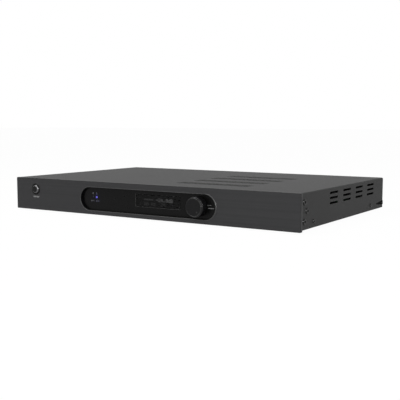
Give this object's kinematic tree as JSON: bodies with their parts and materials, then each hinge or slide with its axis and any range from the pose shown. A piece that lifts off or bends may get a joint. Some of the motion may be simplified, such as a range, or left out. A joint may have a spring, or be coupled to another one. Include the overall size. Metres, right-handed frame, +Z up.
{
  "type": "subwoofer amplifier",
  "caption": "Flat rack-height subwoofer amplifier: steel case with vent slots, thick front with round-ended display recess, push-and-turn knob, power button and rear connectors.",
  "frame": {"origin": "centre of the bounding box on the surface that the feet stand on", "axes": "+X to the right seen from the front, along the panel; +Y to the rear; +Z up"},
  "size_m": [0.4414, 0.2994, 0.0457],
  "materials": {
    "front_aluminium": "black brushed anodising",
    "cover_steel": "fine textured black powder coat",
    "tray_steel": "fine textured black powder coat",
    "rear_steel": "fine textured black powder coat",
    "gloss_black": "gloss black moulding",
    "window_acrylic": "smoked clear acrylic",
    "lens_acrylic": "clear acrylic",
    "display_steel": "black paint",
    "display_glass": "liquid crystal glass",
    "green_board": "solder mask",
    "lamp_plastic": "lamp package",
    "black_moulding": "moulded",
    "white_moulding": "moulded",
    "red_moulding": "moulded",
    "plain_steel": "bare",
    "knob_aluminium": "turned, black anodised",
    "button_plastic": "satin",
    "black_screws": "black oxide",
    "foot_rubber": "moulded",
    "zinc_screws": "zinc plated",
    "plated_brass": "gold plated",
    "fuse_glass": "glass tube with metal caps",
    "ferrite": "sintered",
    "coil_tape": "wound and taped",
    "copper_winding": "enamelled copper wire",
    "sink_aluminium": "extruded",
    "film_box": "moulded box",
    "wire_plastic": "insulation",
    "ribbon_plastic": "flat cable"
  },
  "bodies": {
    "chassis": {"front_panel": "front_aluminium", "top_cover": "cover_steel", "chassis_tray": "tray_steel", "rear_panel": "rear_steel", "display_bezel": "gloss_black", "display_window": "window_acrylic", "status_light_lenses": "lens_acrylic", "display_frame": "display_steel", "display_glass": "display_glass", "display_board": "green_board", "front_board": "green_board", "status_lamps": "lamp_plastic", "encoder_body": "black_moulding", "power_button_ring": "black_moulding", "power_switch": "black_moulding", "rack_ear_screws": "black_screws", "cover_screws": "black_screws", "rubber_feet": "foot_rubber", "foot_screws": "zinc_screws", "mains_inlet": "black_moulding", "inlet_blades": "plated_brass", "rocker_frame": "black_moulding", "mode_switch_body": "plain_steel", "trigger_jacks": "black_moulding", "trigger_jack_nuts": "plated_brass", "rca_block": "black_moulding", "rca_insulators": "white_moulding", "rca_shells": "plated_brass", "post_bases": "black_moulding", "post_studs": "plated_brass", "supply_board": "green_board", "amplifier_board": "green_board", "input_board": "green_board", "board_standoffs": "plated_brass", "board_screws": "zinc_screws", "transformer_core": "ferrite", "transformer_coil": "coil_tape", "bulk_capacitors": "black_moulding", "mains_filter_choke": "copper_winding", "rectifier_heat_sink": "sink_aluminium", "heat_sink": "sink_aluminium", "power_transistors": "black_moulding", "output_inductors": "copper_winding", "filter_capacitors": "film_box", "signal_processors": "black_moulding", "mains_wires": "wire_plastic", "speaker_wires": "wire_plastic", "ribbon_cable": "ribbon_plastic"},
    "power_button": {"power_button": "button_plastic"},
    "encoder_pusher": {"encoder_pusher": "white_moulding"},
    "volume_knob": {"volume_knob": "knob_aluminium", "encoder_shaft": "plain_steel"},
    "mains_rocker": {"mains_rocker": "black_moulding"},
    "fuse_drawer": {"fuse_drawer": "black_moulding", "mains_fuse": "fuse_glass"},
    "mode_switch_lever": {"mode_switch_lever": "black_moulding"},
    "post_collar_left": {"post_collar_left": "plated_brass"},
    "post_cap_left": {"post_cap_left": "black_moulding"},
    "post_collar_right": {"post_collar_right": "plated_brass"},
    "post_cap_right": {"post_cap_right": "red_moulding"}
  },
  "joints": [
    {"name": "power_button_press", "type": "slide", "parent": "chassis", "child": "power_button", "axis": [0, 1, 0], "range_m": [0, 0.0015], "stiffness_N_per_m": 1000},
    {"name": "volume_knob_push", "type": "slide", "parent": "chassis", "child": "encoder_pusher", "axis": [0, 1, 0], "range_m": [0, 0.0005], "stiffness_N_per_m": 4000},
    {"name": "volume_knob_turn", "type": "hinge", "parent": "encoder_pusher", "child": "volume_knob", "pos_m": [0.0842, -0.14125, 0.0226], "axis": [0, 1, 0], "continuous": true},
    {"name": "mains_rocker_tip", "type": "hinge", "parent": "chassis", "child": "mains_rocker", "pos_m": [-0.146, 0.12875, 0.024], "axis": [1, 0, 0], "range_deg": [-20, 0]},
    {"name": "fuse_drawer_slide", "type": "slide", "parent": "chassis", "child": "fuse_drawer", "axis": [0, 1, 0], "range_m": [0, 0.018]},
    {"name": "mode_switch_slide", "type": "slide", "parent": "chassis", "child": "mode_switch_lever", "axis": [1, 0, 0], "range_m": [-0.0025, 0.0025]},
    {"name": "post_collar_left_slide", "type": "slide", "parent": "chassis", "child": "post_collar_left", "axis": [0, 1, 0], "range_m": [0, 0.004]},
    {"name": "post_cap_left_turn", "type": "hinge", "parent": "post_collar_left", "child": "post_cap_left", "pos_m": [0.02, 0.14975, 0.0244], "axis": [0, 1, 0], "range_deg": [0, 1440]},
    {"name": "post_collar_right_slide", "type": "slide", "parent": "chassis", "child": "post_collar_right", "axis": [0, 1, 0], "range_m": [0, 0.004]},
    {"name": "post_cap_right_turn", "type": "hinge", "parent": "post_collar_right", "child": "post_cap_right", "pos_m": [0.042, 0.14975, 0.0244], "axis": [0, 1, 0], "range_deg": [0, 1440]}
  ],
  "couplings": [
    {"joint": "post_cap_left_turn", "follows": "post_collar_left_slide", "rad_per_m": 6283},
    {"joint": "post_cap_right_turn", "follows": "post_collar_right_slide", "rad_per_m": 6283}
  ]
}
